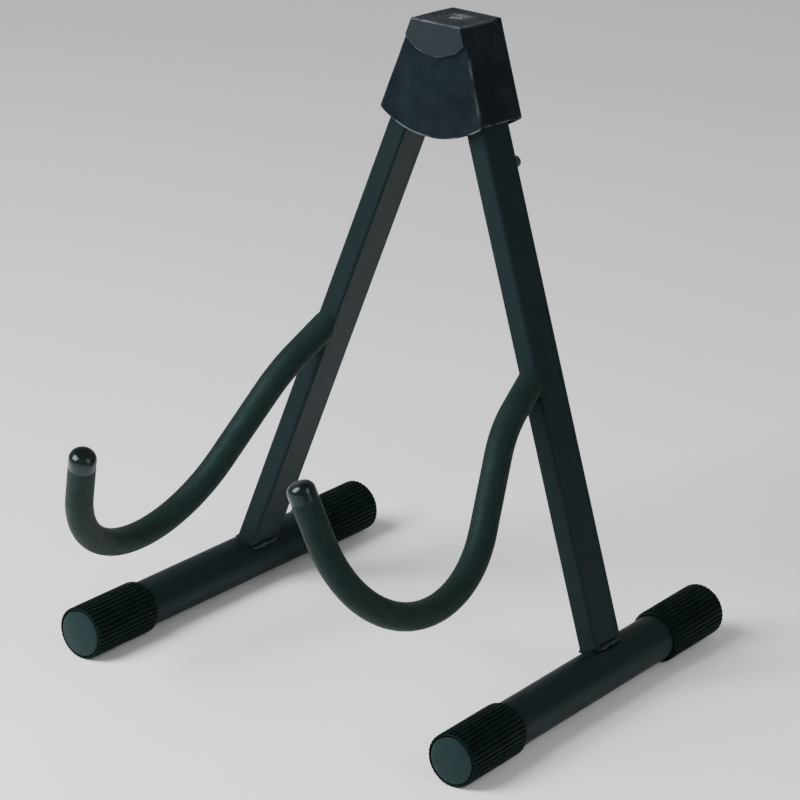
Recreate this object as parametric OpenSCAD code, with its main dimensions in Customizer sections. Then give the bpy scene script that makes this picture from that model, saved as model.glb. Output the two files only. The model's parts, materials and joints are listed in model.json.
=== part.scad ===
// Folding A-frame stand for a guitar: two welded legs hinge inside a moulded head.
// Each leg carries a foot tube and a sleeved J-shaped arm that cradles the instrument.
// +X is the stand's right seen from the front, -Y the front, +Z up, floor at z = 0.

/* [Legs] */
// Distance along a leg from its pivot to the axis of its foot tube
leg_length = 325; // [260:1:420]
// Angle each leg swings outward from its folded, upright place
leg_open = 19.4; // [15:0.1:25]
// Backward lean of the folded legs and of the hinge axis
tilt = 4; // [0:0.5:10]
// Width of the leg tube, seen from the front
leg_w = 12; // [11:0.5:16]
// Depth of the leg tube, from front face to back face
leg_d = 24; // [18:0.5:30]
// Wall of the leg tube
leg_wall = 1.5; // [1:0.1:2]
// Outer corner radius of the leg tube
leg_corner = 1.5; // [0.5:0.1:3]

/* [Feet] */
// Outer diameter of the foot tubes
foot_od = 26; // [20:0.5:30]
// Wall of the foot tubes
foot_wall = 1.5; // [1:0.1:2.5]
// Reach of a foot in front of its leg, to the face of the cap
foot_front = 145; // [110:1:180]
// Reach of a foot behind its leg, to the face of the cap
foot_back = 98; // [80:1:130]
// Radius of the weld beads that join a leg to its foot
weld_r = 1.9; // [1.5:0.1:3]

/* [Foot caps] */
// Length of a cap
cap_length = 50; // [30:1:60]
// Rubber around the foot tube, from the tube to the top of a rib
cap_wall = 2; // [2:0.1:4]
// Rubber behind the end of the foot tube
cap_end = 4; // [3:0.5:6]
// Number of ribs around a cap
cap_ribs = 36; // [12:4:48]
// Depth of the grooves between the ribs
rib_depth = 0.8; // [0.3:0.1:1.2]
// Rounding of the closed end
cap_round = 1.2; // [0.8:0.1:2]
// Crown of the smooth disc on the closed end
cap_crown = 1; // [0.2:0.1:1.5]

/* [Arms] */
// Diameter of the steel rod
rod_d = 8; // [6:0.5:8.5]
// Wall of the soft sleeve on the rod
sleeve_wall = 3.6; // [2:0.1:5]
// Height of the arm's root above the foot axis, along the leg
arm_height = 160; // [120:1:200]
// Downward angle at which the right arm leaves its leg
arm_angle = 32; // [20:0.1:40]
// How much lower the left arm is set, as an angle
left_droop = 6.3; // [0:0.1:8]
// Angle each arm is turned inward, toward the middle of the stand
arm_toe = 1.4; // [0:0.1:4]
// Straight length from the leg to the first bend
root_length = 20.6; // [14:0.1:40]
// Radius of the first bend, at the rod's centre
shoulder_r = 74; // [40:1:100]
// Turn of the first bend, downward
shoulder_turn = 22; // [10:0.1:35]
// Straight length between the two bends
shank_length = 43.6; // [20:0.1:70]
// Radius of the cradle bend, at the rod's centre
cradle_r = 69.6; // [50:0.1:85]
// Turn of the cradle bend, upward
cradle_turn = 131.8; // [110:0.1:140]
// Straight length from the cradle bend to the rounding of the tip
tip_length = 28; // [18:0.1:50]
// Length of rod that reaches into the leg tube
rod_inside = 18; // [8:0.5:20]
// Straight collar below the rounding of the tip
tip_collar = 5; // [2:0.1:7]
// Radius of the rounding of the tip
tip_round = 5.2; // [3:0.1:5.5]

/* [Head] */
// Gap left between the two rows of caps when the stand is folded
fold_gap = 1.6; // [0.5:0.1:6]
// Height of the head's top above the pivots
head_top = 31; // [28:0.5:40]
// Space beside an open leg, inside the head
head_side_gap = 3.2; // [2.5:0.1:5]
// Depth of the head from front to back
head_d = 37.8; // [37:0.1:50]
// Height of the head's sides
head_h = 51.5; // [45:0.5:65]
// Drop of the curved front and back edges below the sides
apron_drop = 11.5; // [4:0.5:16]
// Wall of the moulded head
head_wall = 1.9; // [1.5:0.1:2.5]
// Radius of the raised pad that the instrument leans on
pad_r = 26; // [18:0.5:30]
// Height of the pad's lowest point above the pivots
pad_above = 12.3; // [8:0.1:15]
// Step from the pad down to the apron below it
pad_step = 1.5; // [0.5:0.1:1.8]

/* [Hinge] */
// Space left beside a folded leg's top corner
fold_play = 0.4; // [0.2:0.1:0.8]
// Gap between an open leg and the stop block
stop_gap = 0.1; // [0.05:0.05:0.3]
// Thickness of the pressed steel bracket
bracket_t = 1.5; // [1:0.1:2]
// Space between the bracket and the head around it
bracket_gap = 1.2; // [0.5:0.1:2]
// Reach of the bracket's plates below the pivots
bracket_below = 9; // [7:0.5:12]
// Diameter of the pivot rivets
rivet_d = 6; // [5:0.5:7]
// Diameter of the heads of the pivot rivets
rivet_head_d = 11; // [9:0.5:13]
// Height of the heads of the pivot rivets
rivet_head_h = 1.2; // [0.8:0.1:1.6]
// Wall of the bushing in the leg
bushing_wall = 1; // [0.7:0.1:1.5]
// Running clearance around a pivot rivet, on the radius
pivot_clear = 0.05; // [0.02:0.01:0.1]
// Thickness of the washers beside the legs
washer_t = 0.4; // [0.3:0.1:1]
// Free play between a washer and its leg
washer_gap = 0.1; // [0.05:0.05:0.3]
// Diameter of the cover screw's shank
screw_d = 4; // [3:0.5:5]
// Diameter of the cover screw's head
screw_head_d = 7.4; // [6:0.1:9]
// Height of the cover screw's head
screw_head_h = 2.4; // [1.8:0.1:3]
// Length of the cover screw below its head
screw_length = 13; // [10:0.5:14]
// Diameter of the rivet that holds the stop block
block_rivet_d = 3; // [2.5:0.5:4]

/* [Buttons] */
// Distance of the button on the back of a leg below the pivot
button_below = 48; // [40:1:80]
// Distance of the button outward from the middle of the leg's back face
button_aside = 1.5; // [0:0.1:2]
// Diameter of the button
button_d = 6.6; // [5:0.1:9]
// Height of the button
button_h = 6; // [3:0.5:8]
// Diameter of the button's stem in the leg wall
stem_d = 3.6; // [2.5:0.1:5]

/* [Hidden] */
$fn = 64;

RIGHT = 1;
LEFT = -1;
eps = 0.02;
far = 200;

// Feet: the tubes lie level while the legs lean, so each foot is turned up from the hinge axis
foot_r = foot_od / 2;
cap_r = foot_r + cap_wall;
pivot_x = cap_r + fold_gap / 2;
foot_rise = atan(tan(tilt) / cos(leg_open));
foot_roll = asin(cos(tilt) * sin(leg_open));
foot_toe = asin(sin(leg_open) * sin(foot_rise));

// Arms: outlines run forward from the leg's front face
sleeve_r = rod_d / 2 + sleeve_wall;
tip_socket = 5;
weld_ring = 2;
weld_length = 2.2;
joint_step = 0.05;
joint_dip = 0.5;
left_angle = arm_angle + left_droop;

// Welds on the feet, outline of a cap's ribs, details of its ends, and the rear buttons
weld_sunk = 0.8;
rib_pitch = 360 / cap_ribs;
land_half = rib_pitch * 0.29;
root_half = rib_pitch * 0.42;
land_r = cap_r / cos(land_half);
disc_r = cap_r * 0.86;
disc_groove = 0.8;
mouth_lip = 1.4;
button_dome = button_d / 4;
button_dome_r = button_d * 5 / 8;
stem_past = 1;

// End of the arm's centreline, forward of the root and above it, for a start angle
function arm_reach(angle) =
    let (a = -angle, b = a - shoulder_turn, c = b + cradle_turn)
    root_length * cos(a) + shoulder_r * (sin(a) - sin(b)) + shank_length * cos(b)
    + cradle_r * (sin(c) - sin(b)) + tip_length * cos(c);
function arm_rise(angle) =
    let (a = -angle, b = a - shoulder_turn, c = b + cradle_turn)
    root_length * sin(a) + shoulder_r * (cos(b) - cos(a)) + shank_length * sin(b)
    + cradle_r * (cos(b) - cos(c)) + tip_length * sin(c);

// Distance of a point on a leg in front of the pivots; place is measured up from the pivot
function ahead(forward, place) = forward * cos(tilt) - place * cos(leg_open) * sin(tilt);
function tip_ahead(angle) =
    ahead(leg_d / 2 + arm_reach(angle) * cos(arm_toe), arm_height - leg_length + arm_rise(angle))
    + sleeve_r;

// Pivots: high enough for the caps to stand on the floor, and placed so that the
// origin is under the middle of the whole stand
foot_ahead = ahead(0, -leg_length);
front_reach = max(tip_ahead(arm_angle), tip_ahead(left_angle),
    foot_ahead + foot_front * cos(foot_toe));
back_reach = foot_back * cos(foot_toe) - foot_ahead;
pivot_y = (front_reach - back_reach) / 2;
pivot_z = cap_r + leg_length * cos(leg_open) * cos(tilt);

// Hinge stack across a leg, from its faces outward to the bracket
plate_in = leg_d / 2 + washer_gap + washer_t;
plate_out = plate_in + bracket_t;
bushing_r = rivet_d / 2 + pivot_clear + bushing_wall;
washer_edge = 0.5;
washer_r = rivet_head_d / 2 + washer_edge;

// Half-widths at a height above the pivots: the head, its hollow, and the gap between open legs
function beside_leg(z, off) = pivot_x - z * tan(leg_open) + off / cos(leg_open);
function head_half(z) = beside_leg(z, leg_w / 2 + head_side_gap + head_wall);
function hollow_half(z) = beside_leg(z, leg_w / 2 + head_side_gap);
function legs_gap_half(z) = beside_leg(z, -leg_w / 2 - stop_gap);

// A leg ends above its pivot where its top corner, folded, still clears the head's hollow
leg_above = (hollow_half(0) - pivot_x - leg_w / 2 - fold_play) / tan(leg_open);

// Head heights, measured from the pivots
head_low = head_top - head_h;
apron_low = head_low - apron_drop;
apron_r = (pow(head_half(head_low), 2) + pow(apron_drop, 2)) / (2 * apron_drop);
apron_centre = apron_low + apron_r;
apron_slope = atan(pad_step / (pad_above - apron_low));
screw_sunk = 0.5;
screw_seat = head_top - screw_sunk - screw_head_h;
boss_floor = 2;
boss_wall = 2.5;
screw_play = 0.3;
slot_length = screw_head_d * 0.6;
slot_w = 1;
slot_depth = 1.3;
web_top = screw_seat - boss_floor;
web_low = web_top - bracket_t;

// Stop block: its flanks meet the inner faces of the open legs above the pivots
block_low = 0;
block_neck = leg_above * cos(leg_open) - leg_w / 2 * sin(leg_open);
block_rivet_z = 10;
block_rivet_head = 0.8;

// Places: the head's frame is centred between the pivots with Y along the hinge axes
module at_head() {
    translate([0, pivot_y, pivot_z])
        rotate([-tilt, 0, 0])
            children();
}

// A leg's frame: origin at the pivot, Z up along the leg, X outward
module at_leg(side) {
    at_head()
        mirror([side == LEFT ? 1 : 0, 0, 0])
            translate([pivot_x, 0, 0])
                rotate([0, -leg_open, 0])
                    children();
}

// A foot's frame: origin under the leg, Y back along the foot tube
module at_foot(side) {
    at_leg(side)
        translate([0, 0, -leg_length])
            rotate([foot_rise, 0, 0])
                children();
}

// Outlines and shapes that repeat
module along_y() {
    rotate([-90, 0, 0])
        children();
}

module pin_y(r, half_length) {
    rotate([90, 0, 0])
        cylinder(r = r, h = 2 * half_length, center = true);
}

module rounded_rect(w, d, r) {
    square([w - 2 * r, d], center = true);
    square([w, d - 2 * r], center = true);
    for (x = [-1, 1], y = [-1, 1])
        translate([x * (w / 2 - r), y * (d / 2 - r)])
            circle(r);
}

module ring(outer_r, inner_r) {
    difference() {
        circle(outer_r);
        circle(inner_r);
    }
}

// A straight run along +X and a bend that starts along +X. Bends are a hair thicker than
// the runs that dip into them, so the pieces join without faces that only nearly touch.
module straight(from, to, r) {
    translate([from, 0, 0])
        rotate([0, 90, 0])
            cylinder(r = r, h = to - from);
}

module bend(radius, turn, r) {
    translate([0, sign(turn) * radius, 0])
        rotate([0, 0, turn > 0 ? -90 : 90 + turn])
            rotate_extrude(angle = abs(turn))
                translate([radius, 0])
                    circle(r + joint_step);
}

module past_bend(radius, turn) {
    translate([0, sign(turn) * radius, 0])
        rotate([0, 0, turn])
            translate([0, -sign(turn) * radius, 0])
                children();
}

function start_angle(side) = side == LEFT ? left_angle : arm_angle;

// The arm's frame: origin on the leg's front face, X along the start of the rod
module at_arm(side) {
    at_leg(side)
        translate([0, -leg_d / 2, arm_height - leg_length])
            rotate([90, 0, -90 - arm_toe])
                rotate([0, 0, -start_angle(side)])
                    children();
}

// A bar along the whole arm, from before the root to after the cradle bend
module arm_run(before, after, r) {
    straight(-before, root_length + joint_dip, r);
    translate([root_length, 0, 0]) {
        bend(shoulder_r, -shoulder_turn, r);
        past_bend(shoulder_r, -shoulder_turn)
            straight(-joint_dip, shank_length + joint_dip, r);
    }
    at_cradle() {
        bend(cradle_r, cradle_turn, r);
        past_bend(cradle_r, cradle_turn)
            straight(-joint_dip, after, r);
    }
}

// The start of the cradle bend
module at_cradle() {
    translate([root_length, 0, 0])
        past_bend(shoulder_r, -shoulder_turn)
            translate([shank_length, 0, 0])
                children();
}

// Everything behind the front face of a leg
module behind_face(side) {
    at_leg(side)
        translate([-far / 2, -leg_d / 2, -leg_length])
            cube([far, far, leg_length]);
}

// Everything below the top of a foot tube
module below_foot_top(side) {
    at_foot(side)
        translate([-far / 2, -far / 2, foot_r - far])
            cube(far);
}

// Legs
module leg_tube(side) {
    difference() {
        at_leg(side)
            translate([0, 0, -leg_length])
                linear_extrude(leg_above + leg_length)
                    difference() {
                        rounded_rect(leg_w, leg_d, leg_corner);
                        square([leg_w - 2 * leg_wall, leg_d - 2 * leg_wall], center = true);
                    }
        below_foot_top(side);
        at_leg(side)
            pin_y(bushing_r, leg_d);
        at_leg(side)
            translate([button_aside, leg_d / 2 - leg_wall - eps, -button_below])
                along_y()
                    cylinder(d = stem_d, h = leg_wall + 2 * eps);
        at_arm(side)
            rotate([0, 90, 0])
                cylinder(d = rod_d, h = leg_d / 2, center = true);
    }
}

module pivot_bushing(side) {
    at_leg(side)
        difference() {
            pin_y(bushing_r, leg_d / 2);
            pin_y(rivet_d / 2 + pivot_clear, leg_d);
        }
}

module rear_button(side) {
    at_leg(side)
        translate([button_aside, leg_d / 2, -button_below])
            along_y() {
                cylinder(d = button_d, h = button_h - button_dome);
                translate([0, 0, button_h - button_dome])
                    intersection() {
                        translate([0, 0, button_dome - button_dome_r])
                            sphere(button_dome_r);
                        cylinder(d = button_d, h = button_d);
                    }
                translate([0, 0, -leg_wall - stem_past])
                    cylinder(d = stem_d, h = leg_wall + stem_past + eps);
            }
}

// Feet
module foot_tube(side) {
    at_foot(side)
        translate([0, cap_end - foot_front, 0])
            along_y()
                linear_extrude(foot_front + foot_back - 2 * cap_end)
                    ring(foot_r, foot_r - foot_wall);
}

// A bead along each long side of the leg, on top of the foot tube
module foot_welds(side) {
    difference() {
        at_foot(side)
            for (x = [-1, 1])
                translate([x * leg_w / 2, 0, foot_r - weld_sunk])
                    pin_y(weld_r, leg_d / 2 - leg_corner);
        at_foot(side)
            pin_y(foot_r, leg_d);
        difference() {
            at_leg(side)
                translate([-leg_w / 2, -leg_d, -leg_length])
                    cube([leg_w, 2 * leg_d, leg_d * 2]);
            below_foot_top(side);
        }
    }
}

// Outline of a ribbed cap: flat lands a cap_r out, with one of them straight down
module rib_outline() {
    root_r = cap_r - rib_depth;
    polygon([for (i = [0 : cap_ribs - 1], s = [-root_half, -land_half, land_half, root_half])
        let (a = -90 + i * rib_pitch + s, r = abs(s) == land_half ? land_r : root_r)
        r * [cos(a), sin(a)]]);
}

// A cap runs along +Z from its open mouth to its closed, crowned end
module cap_shape() {
    wide = land_r + 0.1;
    end = cap_length - cap_crown;
    crown_r = (disc_r * disc_r + cap_crown * cap_crown) / (2 * cap_crown);
    difference() {
        union() {
            intersection() {
                linear_extrude(end)
                    rib_outline();
                rotate_extrude() {
                    square([cap_r - rib_depth, end - cap_round]);
                    translate([0, mouth_lip])
                        square([wide, end - cap_round - mouth_lip]);
                    square([wide - cap_round, end]);
                    translate([wide - cap_round, end - cap_round])
                        circle(cap_round);
                }
            }
            translate([0, 0, end - eps])
                intersection() {
                    translate([0, 0, cap_crown + eps - crown_r])
                        sphere(crown_r, $fn = 128);
                    cylinder(r = disc_r, h = 2 * cap_crown);
                }
        }
        translate([0, 0, end - disc_groove])
            linear_extrude(disc_groove + cap_crown)
                ring(disc_r + disc_groove, disc_r);
        translate([0, 0, -eps])
            cylinder(r = foot_r, h = cap_length - cap_end + eps);
    }
}

module foot_cap(side, end) {
    at_foot(side)
        rotate([0, foot_roll, 0])
            translate([0, end > 0 ? foot_back - cap_length : cap_length - foot_front, 0])
                rotate([end > 0 ? -90 : 90, end > 0 ? 180 : 0, 0])
                    cap_shape();
}

// Arms
module arm_rod(side) {
    at_arm(side)
        arm_run(rod_inside, tip_length - tip_collar + tip_socket, rod_d / 2);
}

module arm_weld(side) {
    difference() {
        at_arm(side)
            rotate([0, 90, 0])
                translate([0, 0, -weld_length - sleeve_r])
                    linear_extrude(2 * weld_length + sleeve_r)
                        ring(rod_d / 2 + weld_ring, rod_d / 2);
        behind_face(side);
    }
}

module arm_sleeve(side) {
    difference() {
        at_arm(side)
            arm_run(sleeve_r, tip_length - tip_collar, sleeve_r);
        at_arm(side)
            arm_run(sleeve_r + eps, tip_length, rod_d / 2);
        at_arm(side)
            straight(-weld_length - sleeve_r, weld_length, rod_d / 2 + weld_ring);
        behind_face(side);
    }
}

// Half of a tip, from its axis outward
module tip_outline() {
    flat_r = sleeve_r - tip_round;
    square([sleeve_r, tip_collar]);
    square([flat_r, tip_collar + tip_round]);
    intersection() {
        translate([flat_r, tip_collar])
            circle(tip_round);
        square([sleeve_r, tip_collar + tip_round]);
    }
}

module arm_tip(side) {
    at_arm(side)
        at_cradle()
            past_bend(cradle_r, cradle_turn)
                translate([tip_length - tip_collar, 0, 0])
                    rotate([0, 90, 0])
                        difference() {
                            rotate_extrude()
                                tip_outline();
                            translate([0, 0, -eps])
                                cylinder(d = rod_d, h = tip_socket + eps);
                        }
}

// Head
module head_outline() {
    low = apron_low - head_wall;
    intersection() {
        polygon([[-head_half(head_top), head_top], [head_half(head_top), head_top],
            [head_half(low), low], [-head_half(low), low]]);
        translate([0, apron_centre])
            circle(apron_r, $fn = 180);
    }
}

// Everything in front of the apron's sloping face, moved back by a wall thickness
module before_apron(back) {
    translate([-far / 2, back - head_d / 2, apron_low])
        rotate([-apron_slope, 0, 0])
            translate([0, -far / 2, -far / 2])
                cube([far, far / 2, far]);
}

module head_hollow() {
    ceiling = head_top - head_wall;
    difference() {
        translate([0, head_d / 2 - head_wall, 0])
            rotate([90, 0, 0])
                linear_extrude(head_d - head_wall)
                    polygon([[-hollow_half(ceiling), ceiling], [hollow_half(ceiling), ceiling],
                        [hollow_half(head_low), head_low], [far, head_low], [far, -far],
                        [-far, -far], [-far, head_low], [-hollow_half(head_low), head_low]]);
        before_apron(head_wall / cos(apron_slope));
    }
}

module head_cover() color("#17191b")
at_head()
difference() {
    union() {
        difference() {
            translate([0, head_d / 2, 0])
                rotate([90, 0, 0])
                    linear_extrude(head_d)
                        head_outline();
            difference() {
                before_apron(0);
                translate([0, 0, pad_above + pad_r])
                    pin_y(pad_r, head_d);
            }
            head_hollow();
        }
        translate([0, 0, web_top])
            cylinder(r = screw_head_d / 2 + boss_wall, h = head_top - head_wall + eps - web_top);
    }
    translate([0, 0, screw_seat])
        cylinder(r = screw_head_d / 2 + screw_play, h = far);
    cylinder(r = screw_d / 2 + screw_play, h = far);
}

module cover_screw() color("#8d9296")
at_head()
difference() {
    union() {
        translate([0, 0, screw_seat - screw_length])
            cylinder(d = screw_d, h = screw_length + eps);
        translate([0, 0, screw_seat])
            cylinder(d = screw_head_d, h = screw_head_h);
    }
    for (a = [0, 90])
        rotate([0, 0, a])
            translate([0, 0, screw_seat + screw_head_h])
                cube([slot_length, slot_w, 2 * slot_depth], center = true);
}

module plate_outline() {
    half_top = hollow_half(web_top) - bracket_gap;
    half_low = hollow_half(-bracket_below) - bracket_gap;
    polygon([[-half_top, web_top], [half_top, web_top],
        [half_low, -bracket_below], [-half_low, -bracket_below]]);
}

module hinge_bracket() color("#9aa0a4")
at_head()
difference() {
    translate([0, plate_out, 0])
        rotate([90, 0, 0])
            linear_extrude(2 * plate_out)
                plate_outline();
    translate([-far / 2, -plate_in, web_low - far])
        cube([far, 2 * plate_in, far]);
    for (x = [-1, 1])
        translate([x * pivot_x, 0, 0])
            pin_y(rivet_d / 2, far / 2);
    translate([0, 0, block_rivet_z])
        pin_y(block_rivet_d / 2, far / 2);
    cylinder(r = screw_d / 2 + screw_play, h = far);
}

module stop_block() color("#3a3d40")
at_head()
difference() {
    translate([0, plate_in, 0])
        rotate([90, 0, 0])
            linear_extrude(2 * plate_in)
                polygon([[-legs_gap_half(block_low), block_low], [legs_gap_half(block_low), block_low],
                    [legs_gap_half(block_neck), block_neck], [legs_gap_half(block_neck), web_low],
                    [-legs_gap_half(block_neck), web_low], [-legs_gap_half(block_neck), block_neck]]);
    translate([0, 0, screw_seat - screw_length])
        cylinder(d = screw_d, h = far);
    translate([0, 0, block_rivet_z])
        pin_y(block_rivet_d / 2, far / 2);
}

module block_rivet() color("#b9bdc0")
at_head()
translate([0, 0, block_rivet_z]) {
    pin_y(block_rivet_d / 2, plate_out + eps);
    for (s = [-1, 1])
        translate([0, s * (plate_out + block_rivet_head / 2), 0])
            pin_y(block_rivet_d, block_rivet_head / 2);
}

module pivot_rivets() color("#b9bdc0")
at_head()
for (x = [-1, 1])
    translate([x * pivot_x, 0, 0]) {
        pin_y(rivet_d / 2, plate_out + eps);
        for (s = [-1, 1])
            translate([0, s * (plate_out + rivet_head_h / 2), 0])
                pin_y(rivet_head_d / 2, rivet_head_h / 2);
    }

module pivot_washers() color("#d8d4c8")
at_head()
for (x = [-1, 1], s = [-1, 1])
    translate([x * pivot_x, s * (plate_in - washer_t / 2), 0])
        difference() {
            pin_y(washer_r, washer_t / 2);
            pin_y(rivet_d / 2, washer_t);
        }

// Left leg
module left_leg_tube() color("#2b3130") leg_tube(LEFT);
module left_pivot_bushing() color("#c9b48a") pivot_bushing(LEFT);
module left_foot_tube() color("#2b3130") foot_tube(LEFT);
module left_foot_welds() color("#3a4140") foot_welds(LEFT);
module left_front_cap() color("#16191a") foot_cap(LEFT, -1);
module left_rear_cap() color("#16191a") foot_cap(LEFT, 1);
module left_arm_rod() color("#6f7578") arm_rod(LEFT);
module left_arm_weld() color("#3a4140") arm_weld(LEFT);
module left_arm_sleeve() color("#343a39") arm_sleeve(LEFT);
module left_arm_tip() color("#0d0f10") arm_tip(LEFT);
module left_rear_button() color("#3b3a30") rear_button(LEFT);

// Right leg
module right_leg_tube() color("#2b3130") leg_tube(RIGHT);
module right_pivot_bushing() color("#c9b48a") pivot_bushing(RIGHT);
module right_foot_tube() color("#2b3130") foot_tube(RIGHT);
module right_foot_welds() color("#3a4140") foot_welds(RIGHT);
module right_front_cap() color("#16191a") foot_cap(RIGHT, -1);
module right_rear_cap() color("#16191a") foot_cap(RIGHT, 1);
module right_arm_rod() color("#6f7578") arm_rod(RIGHT);
module right_arm_weld() color("#3a4140") arm_weld(RIGHT);
module right_arm_sleeve() color("#343a39") arm_sleeve(RIGHT);
module right_arm_tip() color("#0d0f10") arm_tip(RIGHT);
module right_rear_button() color("#3b3a30") rear_button(RIGHT);

head_cover();
cover_screw();
hinge_bracket();
stop_block();
block_rivet();
pivot_rivets();
pivot_washers();
left_leg_tube();
left_pivot_bushing();
left_foot_tube();
left_foot_welds();
left_front_cap();
left_rear_cap();
left_arm_rod();
left_arm_weld();
left_arm_sleeve();
left_arm_tip();
left_rear_button();
right_leg_tube();
right_pivot_bushing();
right_foot_tube();
right_foot_welds();
right_front_cap();
right_rear_cap();
right_arm_rod();
right_arm_weld();
right_arm_sleeve();
right_arm_tip();
right_rear_button();
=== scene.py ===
import json
import math

import bmesh
import bpy
from mathutils import Matrix, Quaternion, Vector


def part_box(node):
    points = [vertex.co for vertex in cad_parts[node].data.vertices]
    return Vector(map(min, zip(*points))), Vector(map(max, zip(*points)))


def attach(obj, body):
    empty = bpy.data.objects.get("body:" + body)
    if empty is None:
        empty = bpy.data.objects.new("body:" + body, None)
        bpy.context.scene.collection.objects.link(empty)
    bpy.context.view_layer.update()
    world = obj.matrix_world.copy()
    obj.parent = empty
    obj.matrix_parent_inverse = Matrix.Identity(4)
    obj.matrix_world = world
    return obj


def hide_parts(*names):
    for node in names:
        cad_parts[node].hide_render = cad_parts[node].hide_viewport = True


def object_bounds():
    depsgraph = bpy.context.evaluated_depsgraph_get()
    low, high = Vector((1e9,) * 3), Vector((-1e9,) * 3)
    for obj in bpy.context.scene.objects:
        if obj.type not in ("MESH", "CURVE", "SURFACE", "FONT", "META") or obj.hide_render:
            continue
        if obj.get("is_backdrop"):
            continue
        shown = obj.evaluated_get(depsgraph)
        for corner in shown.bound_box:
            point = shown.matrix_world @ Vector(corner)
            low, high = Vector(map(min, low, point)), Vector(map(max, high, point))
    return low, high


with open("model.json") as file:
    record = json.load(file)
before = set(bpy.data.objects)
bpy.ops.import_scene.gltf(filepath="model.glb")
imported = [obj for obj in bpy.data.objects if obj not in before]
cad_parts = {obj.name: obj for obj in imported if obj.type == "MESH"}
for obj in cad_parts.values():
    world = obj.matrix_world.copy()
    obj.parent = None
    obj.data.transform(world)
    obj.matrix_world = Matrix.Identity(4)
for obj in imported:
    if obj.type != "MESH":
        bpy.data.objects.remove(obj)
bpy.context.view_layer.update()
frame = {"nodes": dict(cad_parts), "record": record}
record = frame["record"]
MM = 0.001


# ---------------------------------------------------------------- node helpers
def new_material(name, specular=0.5):
    """A material with its nodes cleared, and its shader."""
    mat = bpy.data.materials.new(name)
    mat.use_nodes = True
    tree = mat.node_tree
    tree.nodes.clear()
    out = tree.nodes.new("ShaderNodeOutputMaterial")
    shader = tree.nodes.new("ShaderNodeBsdfPrincipled")
    shader.inputs["Specular IOR Level"].default_value = specular
    tree.links.new(shader.outputs["BSDF"], out.inputs["Surface"])
    return mat, tree, shader


def noise(tree, scale, detail=3.0, rough=0.55, stretch=(1, 1, 1)):
    """Noise in the row frame, so the grain has its real size; stretch draws it out along an axis."""
    coord = tree.nodes.new("ShaderNodeTexCoord")
    mapping = tree.nodes.new("ShaderNodeMapping")
    mapping.inputs["Scale"].default_value = stretch
    tex = tree.nodes.new("ShaderNodeTexNoise")
    tex.inputs["Scale"].default_value = scale
    tex.inputs["Detail"].default_value = detail
    tex.inputs["Roughness"].default_value = rough
    tree.links.new(coord.outputs["Object"], mapping.inputs["Vector"])
    tree.links.new(mapping.outputs["Vector"], tex.inputs["Vector"])
    return tex.outputs["Fac"]


def ramp(tree, fac, stops):
    """A colour ramp over fac; stops are (place, colour or grey)."""
    node = tree.nodes.new("ShaderNodeValToRGB")
    elements = node.color_ramp.elements
    while len(elements) < len(stops):
        elements.new(0.5)
    for element, (place, tone) in zip(elements, stops):
        element.position = place
        rgb = (tone,) * 3 if isinstance(tone, (int, float)) else tone
        element.color = (*rgb, 1)
    tree.links.new(fac, node.inputs["Fac"])
    return node.outputs["Color"]


def mix(tree, fac, a, b, blend="MIX"):
    """Mixes two colours; any of the three may be a socket or a value."""
    node = tree.nodes.new("ShaderNodeMix")
    node.data_type = "RGBA"
    node.blend_type = blend
    for socket, value in zip((node.inputs[0], node.inputs[6], node.inputs[7]), (fac, a, b)):
        if isinstance(value, bpy.types.NodeSocket):
            tree.links.new(value, socket)
        else:
            socket.default_value = (*value, 1) if isinstance(value, tuple) else value
    return node.outputs[2]


def bump(tree, shader, layers):
    """Chains bumps into the shader's normal; layers are (height socket, strength, distance)."""
    last = None
    for height, strength, distance in layers:
        node = tree.nodes.new("ShaderNodeBump")
        node.inputs["Strength"].default_value = strength
        node.inputs["Distance"].default_value = distance
        tree.links.new(height, node.inputs["Height"])
        if last is not None:
            tree.links.new(last, node.inputs["Normal"])
        last = node.outputs["Normal"]
    tree.links.new(last, shader.inputs["Normal"])


def edge_highlight_and_wear(tree, colour, highlight_and_wear, low, high, amount):
    """Lightens edges that stand out as painted highlight with rubbed wear, broken up by noise so it is
    uneven.
    """
    # Edge mask: edges that stand out get a painted highlight, with some rubbed wear
    geometry = tree.nodes.new("ShaderNodeNewGeometry")
    edge = ramp(tree, geometry.outputs["Pointiness"], [(low, 0.0), (high, 1.0)])
    patch = ramp(tree, noise(tree, 90, 4), [(0.42, 0.0), (0.62, amount)])
    both = mix(tree, 1.0, edge, patch, "MULTIPLY")
    return mix(tree, both, colour, highlight_and_wear)


# ---------------------------------------------------------------- materials
def finish(name, dark, light, rough, specular=0.2, patch=60, fleck=1400, share=0.3, bumps=(), highlight_and_wear=None):
    """A painted or moulded surface: soft mottle, fine flecks, uneven gloss, grain, and edges lightened with
    painted highlight and rubbed wear.

    bumps are (scale, strength, height in mm); highlight_and_wear is (colour, low, high, amount) for
    edge_highlight_and_wear(), a painted edge highlight with rubbed wear.
    """
    mat, tree, shader = new_material(name, specular)
    shader.inputs["Specular Tint"].default_value = (0.7, 0.94, 1, 1)
    cloud = ramp(tree, noise(tree, patch, 4), [(0.35, dark), (0.68, light)])
    low, high = tuple(0.55 * c for c in dark), tuple(1.7 * c for c in light)
    flecks = ramp(tree, noise(tree, fleck, 2, 0.6), [(0.42, low), (0.68, high)])
    colour = mix(tree, share, cloud, flecks)
    if highlight_and_wear:
        # Edges lightened here: painted highlight with rubbed wear
        colour = edge_highlight_and_wear(tree, colour, *highlight_and_wear)
    tree.links.new(colour, shader.inputs["Base Color"])
    gloss = ramp(tree, noise(tree, 6 * patch, 4), [(0.3, rough[0]), (0.7, rough[1])])
    tree.links.new(gloss, shader.inputs["Roughness"])
    bump(tree, shader, [(noise(tree, scale, 2), strength, height * MM) for scale, strength, height in bumps])
    return mat, shader


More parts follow.
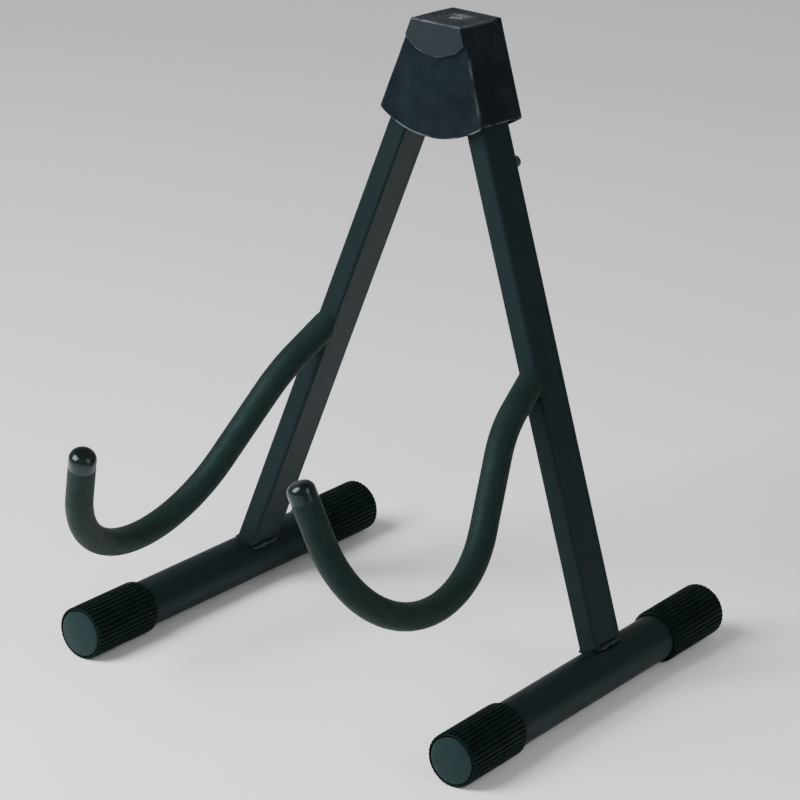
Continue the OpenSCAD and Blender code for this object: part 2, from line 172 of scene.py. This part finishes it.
def sleeve_skin():
    """Soft closed-cell sleeve: dull and pebbled, with a trace of sheen."""
    mat, shader = finish(
        "sleeve_skin", (0.0030, 0.0095, 0.0080), (0.0052, 0.0145, 0.0125), (0.55, 0.7), 0.12, 40, 1500, 0.45,
        ((1500, 0.5, 0.14), (140, 0.1, 0.3)),
    )
    shader.inputs["Sheen Weight"].default_value = 0.03
    shader.inputs["Sheen Roughness"].default_value = 0.5
    return mat


def steel(name, tint, rough, grain):
    """Plated or drawn steel with short streaks from working."""
    mat, tree, shader = new_material(name)
    dark = tuple(0.62 * c for c in tint)
    colour = ramp(tree, noise(tree, 160, 4), [(0.3, dark), (0.66, tint)])
    tree.links.new(colour, shader.inputs["Base Color"])
    shader.inputs["Metallic"].default_value = 1.0
    gloss = ramp(tree, noise(tree, 260, 4), [(0.3, rough[0]), (0.7, rough[1])])
    tree.links.new(gloss, shader.inputs["Roughness"])
    bump(tree, shader, [(noise(tree, grain, 2, 0.5, (1, 0.12, 1)), 0.15, 0.05 * MM)])
    return mat


PEEL = ((900, 0.2, 0.1), (2600, 0.12, 0.05))
FINE = ((1300, 0.16, 0.06),)
MATERIALS = {
    "frame_paint": finish(
        "powder_coat", (0.0040, 0.0090, 0.0100), (0.0048, 0.0105, 0.0115), (0.4, 0.45), 0.12, 30, 1500, 0.3,
        PEEL,
    )[0],
    "weld_paint": finish(
        "weld_paint", (0.0040, 0.0085, 0.0095), (0.012, 0.018, 0.019), (0.26, 0.42), 0.25, 260, 900, 0.3,
        ((520, 0.5, 0.35),),
    )[0],
    "head_plastic": finish(
        "head_plastic", (0.0012, 0.0028, 0.0050), (0.0060, 0.0098, 0.0140), (0.36, 0.5), 0.09, 75, 1100, 0.25,
        # Last tuple: lighter edges, a painted highlight with rubbed wear
        FINE + ((110, 0.08, 0.3),), ((0.11, 0.125, 0.135), 0.503, 0.53, 0.9),
    )[0],
    "sleeve_foam": sleeve_skin(),
    "cap_rubber": finish(
        "cap_rubber", (0.0018, 0.0056, 0.0050), (0.0036, 0.0098, 0.0088), (0.46, 0.6), 0.06, 120, 1500, 0.3,
        # Last tuple: lighter edges, a painted highlight with rubbed wear
        ((1500, 0.25, 0.08),), ((0.02, 0.026, 0.025), 0.53, 0.66, 0.4),
    )[0],
    "tip_plastic": finish(
        "tip_plastic", (0.0035, 0.0055, 0.0055), (0.0060, 0.0090, 0.0090), (0.14, 0.28), 0.3, 140, 900, 0.2,
        ((420, 0.05, 0.1),),
    )[0],
    "screw_steel": steel("screw_steel", (0.72, 0.73, 0.74), (0.16, 0.32), 700),
    "bracket_steel": steel("bracket_steel", (0.52, 0.54, 0.55), (0.32, 0.48), 400),
    "rivet_steel": steel("rivet_steel", (0.6, 0.61, 0.62), (0.25, 0.4), 600),
    "rod_steel": steel("rod_steel", (0.3, 0.31, 0.32), (0.35, 0.5), 500),
    "block_plastic": finish(
        "block_plastic", (0.03, 0.031, 0.034), (0.055, 0.057, 0.06), (0.43, 0.57), 0.4, 220, 1400, 0.3, FINE
    )[0],
    "bearing_plastic": finish(
        "bearing_plastic", (0.45, 0.42, 0.34), (0.6, 0.57, 0.48), (0.38, 0.52), 0.4, 220, 1400, 0.2, FINE
    )[0],
    "button_rubber": finish(
        "button_rubber", (0.013, 0.013, 0.009), (0.032, 0.031, 0.021), (0.42, 0.55), 0.3, 220, 1400, 0.3, FINE
    )[0],
}
# The pad is the head's own plastic; its lighter colour is painted light, because the pad faces the light
PAD_PAINTED_LIGHT = finish(
    "pad_painted_light", (0.0110, 0.0150, 0.0175), (0.0145, 0.0190, 0.0215), (0.5, 0.62), 0.1, 60, 1600, 0.2,
    # Last tuple: lighter edges, a painted highlight with rubbed wear
    ((2000, 0.25, 0.06),), ((0.06, 0.066, 0.07), 0.53, 0.66, 0.5),
)[0]
# The end disc is the cap's own rubber; its lighter colour is painted sheen
DISC_PAINTED_SHEEN = finish(
    "cap_disc_painted_sheen", (0.0045, 0.0135, 0.0135), (0.0070, 0.0185, 0.0185), (0.34, 0.46), 0.15, 120, 1500, 0.25,
    ((1700, 0.2, 0.06),),
)[0]

for part in record["subparts"]:
    node = frame["nodes"][part["node"]]
    node.data.materials.clear()
    node.data.materials.append(MATERIALS[part["material_slot"]])


# ---------------------------------------------------------------- meshes from rings
def placed(origin, across, second, third):
    """A frame in the row: millimetres along three axes from an origin in metres."""
    turn = Matrix((across, second, third)).transposed().to_4x4()
    return Matrix.Translation(origin) @ turn @ Matrix.Scale(MM, 4)


def soft(value, start, end):
    """0 before start, 1 after end, with an eased change between."""
    t = min(1.0, max(0.0, (value - start) / (end - start)))
    return t * t * (3 - 2 * t)


def skin(name, rings, place, where=None, loop=False):
    """A mesh over rings of equal length. loop joins the last ring to the first, otherwise both are closed.

    Faces whose centre passes where() get the second material.
    """
    count, total = len(rings[0]), len(rings)
    local = [Vector(point) for ring in rings for point in ring]
    faces = []
    for i in range(total if loop else total - 1):
        a, b = i * count, (i + 1) % total * count
        faces += [(a + k, a + (k + 1) % count, b + (k + 1) % count, b + k) for k in range(count)]
    if not loop:
        faces += [tuple(range(count)), tuple(range((total - 1) * count, total * count))]
    data = bpy.data.meshes.new(name)
    data.from_pydata([place @ point for point in local], [], faces)
    made = bmesh.new()
    made.from_mesh(data)
    bmesh.ops.recalc_face_normals(made, faces=made.faces)
    made.to_mesh(data)
    made.free()
    data.polygons.foreach_set("use_smooth", [True] * len(faces))
    data.set_sharp_from_angle(angle=math.radians(38))
    if where:
        marks = [int(where(sum((local[v] for v in face), Vector()) / len(face))) for face in faces]
        data.polygons.foreach_set("material_index", marks)
    obj = bpy.data.objects.new(name, data)
    bpy.context.scene.collection.objects.link(obj)
    return obj


def stand_in(obj, body, slot, *nodes, second=None):
    """Gives a piece its finish and its body, and hides the CAD nodes it stands for."""
    obj.data.materials.append(MATERIALS[slot])
    if second:
        obj.data.materials.append(second)
    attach(obj, body)
    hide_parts(*nodes)


# ---------------------------------------------------------------- head
# Millimetres in the head's own frame: z up from the pivots, y back, x across
TILT, LEG_OPEN = math.radians(4), math.radians(19.4)
HEAD_TOP, HEAD_LOW, HEAD_HALF_D, HALF_AT_PIVOTS = 31.0, -20.5, 18.9, 27.568
APRON_DROP, WALL, CORNER, TOP_ROUND, SIDE_CROWN = 11.5, 1.9, 1.7, 1.0, 0.6
PAD_LOW, PAD_R, PAD_STEP, PAD_EDGE = 12.3, 26.0, 1.5, 0.1
RECESS_R, RECESS_EDGE, SHANK_R, SEAT, CEILING = 4.0, 0.4, 2.3, 28.1, 27.0
HEAD_LEVELS, CORNER_STEPS = 110, 7


def head_half(z):
    """Half the head's width at a height; its sides run beside the open legs."""
    return HALF_AT_PIVOTS - math.tan(LEG_OPEN) * max(z, HEAD_LOW)


HEAD_WIDE = head_half(HEAD_LOW)
APRON_LOW = HEAD_LOW - APRON_DROP
APRON_R = (HEAD_WIDE**2 + APRON_DROP**2) / (2 * APRON_DROP)
APRON_CENTRE = APRON_LOW + APRON_R
PAD_CENTRE = PAD_LOW + PAD_R


def head_outline():
    """Points around the head where it is widest, each with its outward direction."""
    x, y = HEAD_WIDE - CORNER, HEAD_HALF_D - CORNER
    corners = [(x, -y, -90), (x, y, 0), (-x, y, 90), (-x, -y, 180)]
    steps = [26, 60, 26, 140]
    points = []
    for i, (cx, cy, start) in enumerate(corners):
        for k in range(CORNER_STEPS + 1):
            a = math.radians(start + 90 * k / CORNER_STEPS)
            n = (math.cos(a), math.sin(a))
            points.append((cx + CORNER * n[0], cy + CORNER * n[1], *n))
        nx, ny, far = *points[-1][2:], corners[(i + 1) % 4]
        ax, ay = points[-1][:2]
        bx, by = far[0] + CORNER * nx, far[1] + CORNER * ny
        for k in range(1, steps[i]):
            t = k / steps[i]
            points.append((ax + (bx - ax) * t, ay + (by - ay) * t, nx, ny))
    return points


def head_rings():
    """From the rim up the outside, over the top, down the screw recess and back down the inside."""
    outline = head_outline()

    def ring(share, inset, lift=0.0, top=HEAD_TOP - TOP_ROUND, inside=False, level=None):
        """One ring, a share of the way up to top, moved inward by inset; level sets one height instead."""
        out = []
        for x0, y0, nx, ny in outline:
            low = APRON_CENTRE - math.sqrt(APRON_R**2 - min(abs(x0), HEAD_WIDE) ** 2) + lift
            z = low + share * (top - low) if level is None else level
            x = x0 * head_half(z) / HEAD_WIDE - nx * SIDE_CROWN * (y0 / HEAD_HALF_D) ** 2
            slope = (z - APRON_LOW) * PAD_STEP / (PAD_LOW - APRON_LOW)
            if not inside:
                slope *= soft(math.hypot(x, z - PAD_CENTRE), PAD_R - PAD_EDGE, PAD_R + 1 - PAD_EDGE)
            y = y0 + slope * max(0.0, -ny)
            out.append((x - nx * inset, y - ny * inset, z))
        return out

    def toward(edge, share, radius, z):
        """A ring part of the way from an edge to a circle about the screw."""
        out = []
        for x, y, _ in edge:
            d = math.hypot(x, y)
            out.append((x + (x / d * radius - x) * share, y + (y / d * radius - y) * share, z))
        return out

    rings = [ring(0, 0.5), ring(0, 0.15, 0.15)]
    rings += [ring(k / HEAD_LEVELS, 0, 0.5) for k in range(HEAD_LEVELS + 1)]
    for k in range(1, 7):
        a = math.radians(15 * k)
        level = HEAD_TOP - TOP_ROUND * (1 - math.sin(a))
        rings.append(ring(1, TOP_ROUND * (1 - math.cos(a)), level=level))
    edge = rings[-1]
    rings += [toward(edge, share, RECESS_R + RECESS_EDGE, HEAD_TOP) for share in (0.05, 0.3, 0.65, 1)]
    rings.append(toward(edge, 1, RECESS_R + 0.3 * RECESS_EDGE, HEAD_TOP - 0.3 * RECESS_EDGE))
    recess = ((RECESS_R, HEAD_TOP - RECESS_EDGE), (RECESS_R, SEAT), (SHANK_R, SEAT), (SHANK_R, CEILING))
    rings += [toward(edge, 1, radius, z) for radius, z in recess]
    under = ring(1, WALL, top=CEILING, inside=True)
    rings += [toward(under, share, SHANK_R, CEILING) for share in (0.6, 0.1)]
    rings += [ring(1 - k / 10, WALL, 0.3, CEILING, True) for k in range(11)]
    rings.append(ring(0, WALL - 0.3, 0, CEILING, True))
    return rings


def on_pad(point):
    """Whether a face of the head's front belongs to the raised pad, which gets the head plastic's colour
    painted lighter as painted light.
    """
    inside = math.hypot(point.x, point.z - PAD_CENTRE) < PAD_R - PAD_EDGE
    return inside and point.y < 0.03 - HEAD_HALF_D and point.z < HEAD_TOP - TOP_ROUND


low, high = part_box("pivot_rivets")
back = Vector((0, math.cos(TILT), -math.sin(TILT)))
above = Vector((0, math.sin(TILT), math.cos(TILT)))
place = placed((low + high) / 2, Vector((1, 0, 0)), back, above)
head = skin("head_moulding", head_rings(), place, where=on_pad, loop=True)
stand_in(head, "head", "head_plastic", "head_cover", second=PAD_PAINTED_LIGHT)


# ---------------------------------------------------------------- foot caps and welds
RIBS, RIB_POINTS, RIB_DEPTH, BEAD_R = 36, 12, 0.8, 1.35
BORE, CAP_END, CROWN, CAP_ROUND, DISC_R = 13.05, 4.0, 1.0, 1.2, 12.9


def cap_rings(length, outer):
    """From the closed end of the bore, out over the mouth and the ribs, to the crowned disc."""
    count = RIBS * RIB_POINTS
    root, end = outer - RIB_DEPTH, length - CROWN
    rows = [(length - CAP_END, BORE, 0), (0.3, BORE, 0), (0, BORE + 0.3, 0), (0, root - 0.4, 0)]
    rows += [(0.12, root - 0.12, 0), (0.4, root, 0), (1.3, root, 0)]
    rows += [(1.5, outer, 0.3), (1.9, outer, 0.85), (2.3, outer, 1), (length / 2, outer, 1)]
    for k in range(7):
        a = math.radians(15 * k)
        rows.append((end - CAP_ROUND * (1 - math.sin(a)), outer - CAP_ROUND * (1 - math.cos(a)), 1))
    rows += [(end - 0.25, DISC_R + 0.72, 0), (end - 0.75, DISC_R + 0.6, 0), (end - 0.8, DISC_R + 0.3, 0)]
    rows += [(end - 0.55, DISC_R + 0.08, 0), (end - 0.1, DISC_R, 0)]
    for k in range(10):
        r = (DISC_R - 0.12) * (1 - k / 10)
        rows.append((end + CROWN * (1 - (r / DISC_R) ** 2), r, 0))
    rings = []
    for t, limit, rise in rows:
        ring = []
        for k in range(count):
            a = math.radians(-90 + 360 * k / count)
            off = abs((k + RIB_POINTS / 2) % RIB_POINTS - RIB_POINTS / 2) * 360 / count
            r = min(limit, root + RIB_DEPTH * rise * (1 - soft(off, 2.4, 4.4)))
            ring.append((r * math.cos(a), r * math.sin(a), t))
        rings.append(ring)
    return rings


def tube_ends(node):
    """Centres of a level tube's front and rear openings."""
    points = [v.co for v in frame["nodes"][node].data.vertices]
    middle = sum(p.y for p in points) / len(points)
    ends = []
    for group in ([p for p in points if p.y < middle], [p for p in points if p.y >= middle]):
        ends.append(Vector([(min(p[i] for p in group) + max(p[i] for p in group)) / 2 for i in range(3)]))
    return ends


def foot_cap(side, name, near, far):
    """One ribbed cap over the near end of a foot tube."""
    node = f"{side}_{name}_cap"
    axis = (near - far).normalized()
    reach = [(v.co - near).dot(axis) for v in frame["nodes"][node].data.vertices]
    length = (max(reach) - min(reach)) / MM
    low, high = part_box(node)
    up = Vector((0, 0, 1))
    place = placed(near + axis * min(reach), up.cross(axis), up, axis)
    outer = (high.z - low.z) / 2 / MM
    disc = length - CROWN - 0.3
    # Faces of the end disc get the painted-sheen colour
    cap = skin(
        f"{side}_{name}_foot_cap", cap_rings(length, outer), place,
        where=lambda p: p.z > disc and math.hypot(p.x, p.y) < DISC_R + 0.02,
    )
    stand_in(cap, f"{side}_leg", "cap_rubber", node, second=DISC_PAINTED_SHEEN)


def weld_bead(middle, axis, half, radius, phase):
    """Rings of a lumpy bead along its line."""
    across = axis.cross(Vector((0, 0, 1))).normalized()
    up = across.cross(axis)
    rings = []
    for i in range(31):
        t = i / 15 - 1
        lump = 1 + 0.17 * math.sin(10 * t + phase) + 0.1 * math.sin(23 * t + 2 * phase)
        r = radius * max(0.12, (1 - t**4)) ** 0.5 * lump
        centre = middle + axis * (t * half) + across * (0.12 * math.sin(7 * t + phase))
        rings.append([
            centre + (across * math.cos(a) + up * math.sin(a)) * r * (1 + 0.08 * math.sin(2 * a + 6 * t))
            for a in (2 * math.pi * k / 14 for k in range(14))
        ])
    return rings


def foot_welds(side, axis):
    """Two beads in place of the plain ones, set where those show."""
    node = f"{side}_foot_welds"
    points = [v.co / MM for v in frame["nodes"][node].data.vertices]
    middle = sum(points, Vector()) / len(points)
    for where, keep in (("outer", 1), ("inner", -1)):
        sign = keep if side == "right" else -keep
        group = [p for p in points if (p.x - middle.x) * sign > 0]
        centre = sum(group, Vector()) / len(group)
        reach = [(p - centre).dot(axis) for p in group]
        half = (max(reach) - min(reach)) / 2
        bead = skin(
            f"{side}_{where}_foot_bead", weld_bead(centre, axis, half, BEAD_R, 1.3 * keep + len(side)),
            Matrix.Scale(MM, 4),
        )
        stand_in(bead, f"{side}_leg", "weld_paint", node)


for side in ("left", "right"):
    front, rear = tube_ends(f"{side}_foot_tube")
    foot_cap(side, "front", front, rear)
    foot_cap(side, "rear", rear, front)
    foot_welds(side, (rear - front).normalized())


# ---------------------------------------------------------------- camera, floor and light
CAMERA_TARGET = Vector((-6.57, 38.5, 142.67)) * MM
CAMERA_AZIMUTH, CAMERA_ELEVATION, CAMERA_ROLL = 37.23, 21.21, 0.52
CAMERA_DISTANCE, CAMERA_LENS = 2.2773, 188


def look_at(obj, target):
    """Turns a camera or light toward a place."""
    obj.rotation_mode = "QUATERNION"
    obj.rotation_quaternion = (target - obj.location).to_track_quat("-Z", "Y")


def direction(azimuth, elevation):
    """Where a view comes from; azimuth 0 is in front of the stand."""
    a, e = math.radians(azimuth), math.radians(elevation)
    return Vector((math.sin(a) * math.cos(e), -math.cos(a) * math.cos(e), math.sin(e)))


def make_camera():
    """The photographed three-quarter view from the stand's right."""
    data = bpy.data.cameras.new("camera")
    camera = bpy.data.objects.new("camera", data)
    bpy.context.scene.collection.objects.link(camera)
    bpy.context.scene.camera = camera
    camera.location = CAMERA_TARGET + direction(CAMERA_AZIMUTH, CAMERA_ELEVATION) * CAMERA_DISTANCE
    look_at(camera, CAMERA_TARGET)
    roll = Quaternion((0, 0, 1), math.radians(CAMERA_ROLL))
    camera.rotation_quaternion = camera.rotation_quaternion @ roll
    data.sensor_width = 36
    data.lens = CAMERA_LENS
    data.clip_end = 20
    return camera


def studio_world(strength):
    """White walls that darken toward the ceiling, so round tubes get bright flanks."""
    world = bpy.data.worlds.new("studio")
    world.use_nodes = True
    tree = world.node_tree
    background = tree.nodes["Background"]
    coord = tree.nodes.new("ShaderNodeTexCoord")
    split = tree.nodes.new("ShaderNodeSeparateXYZ")
    tree.links.new(coord.outputs["Generated"], split.inputs["Vector"])
    tone = ramp(tree, split.outputs["Z"], [(0.0, 1.0), (0.45, 0.85), (0.75, 0.12), (1.0, 0.06)])
    tree.links.new(tone, background.inputs["Color"])
    background.inputs["Strength"].default_value = strength
    bpy.context.scene.world = world


def make_floor():
    """One pale sweep: a floor, flat past any camera, that curves up into a far wall all round."""
    flat, sweep, steps = 3.4, 3.4, 96
    mesh = bmesh.new()
    rings = [(0.001, 0.0), (0.4, 0.0), (1.2, 0.0)]
    for i in range(1, 13):
        a = math.radians(90 * i / 12)
        rings.append((flat + sweep * math.sin(a), sweep * (1 - math.cos(a))))
    rings.append((flat + sweep, sweep * 2.5))
    turns = [2 * math.pi * k / steps for k in range(steps)]
    loops = [
        [mesh.verts.new((radius * math.cos(a), radius * math.sin(a), height)) for a in turns]
        for radius, height in rings
    ]
    for low, high in zip(loops, loops[1:]):
        for k in range(steps):
            mesh.faces.new((low[k], low[(k + 1) % steps], high[(k + 1) % steps], high[k]))
    mesh.faces.new(list(reversed(loops[0])))
    data = bpy.data.meshes.new("floor")
    mesh.to_mesh(data)
    mesh.free()
    for polygon in data.polygons:
        polygon.use_smooth = True
    floor = bpy.data.objects.new("floor", data)
    bpy.context.scene.collection.objects.link(floor)
    mat, tree, shader = new_material("floor_paper")
    colour = ramp(tree, noise(tree, 3, 3), [(0.3, (0.9, 0.9, 0.9)), (0.7, (0.93, 0.93, 0.93))])
    tree.links.new(colour, shader.inputs["Base Color"])
    shader.inputs["Roughness"].default_value = 0.9
    data.materials.append(mat)
    floor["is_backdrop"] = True


def area_light(name, azimuth, elevation, distance, size, power, aim=Vector((0, 0, 0.17))):
    """A soft box that points at the middle of the stand."""
    data = bpy.data.lights.new(name, "AREA")
    data.shape = "RECTANGLE"
    data.size, data.size_y = size
    data.energy = power
    light = bpy.data.objects.new(name, data)
    bpy.context.scene.collection.objects.link(light)
    light.location = aim + direction(azimuth, elevation) * distance
    look_at(light, aim)


make_camera()
make_floor()
studio_world(1.4)
area_light("key", -30, 40, 1.4, (0.8, 1.0), 44)
area_light("fill", 85, 25, 1.6, (0.5, 1.2), 9)

low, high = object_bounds()
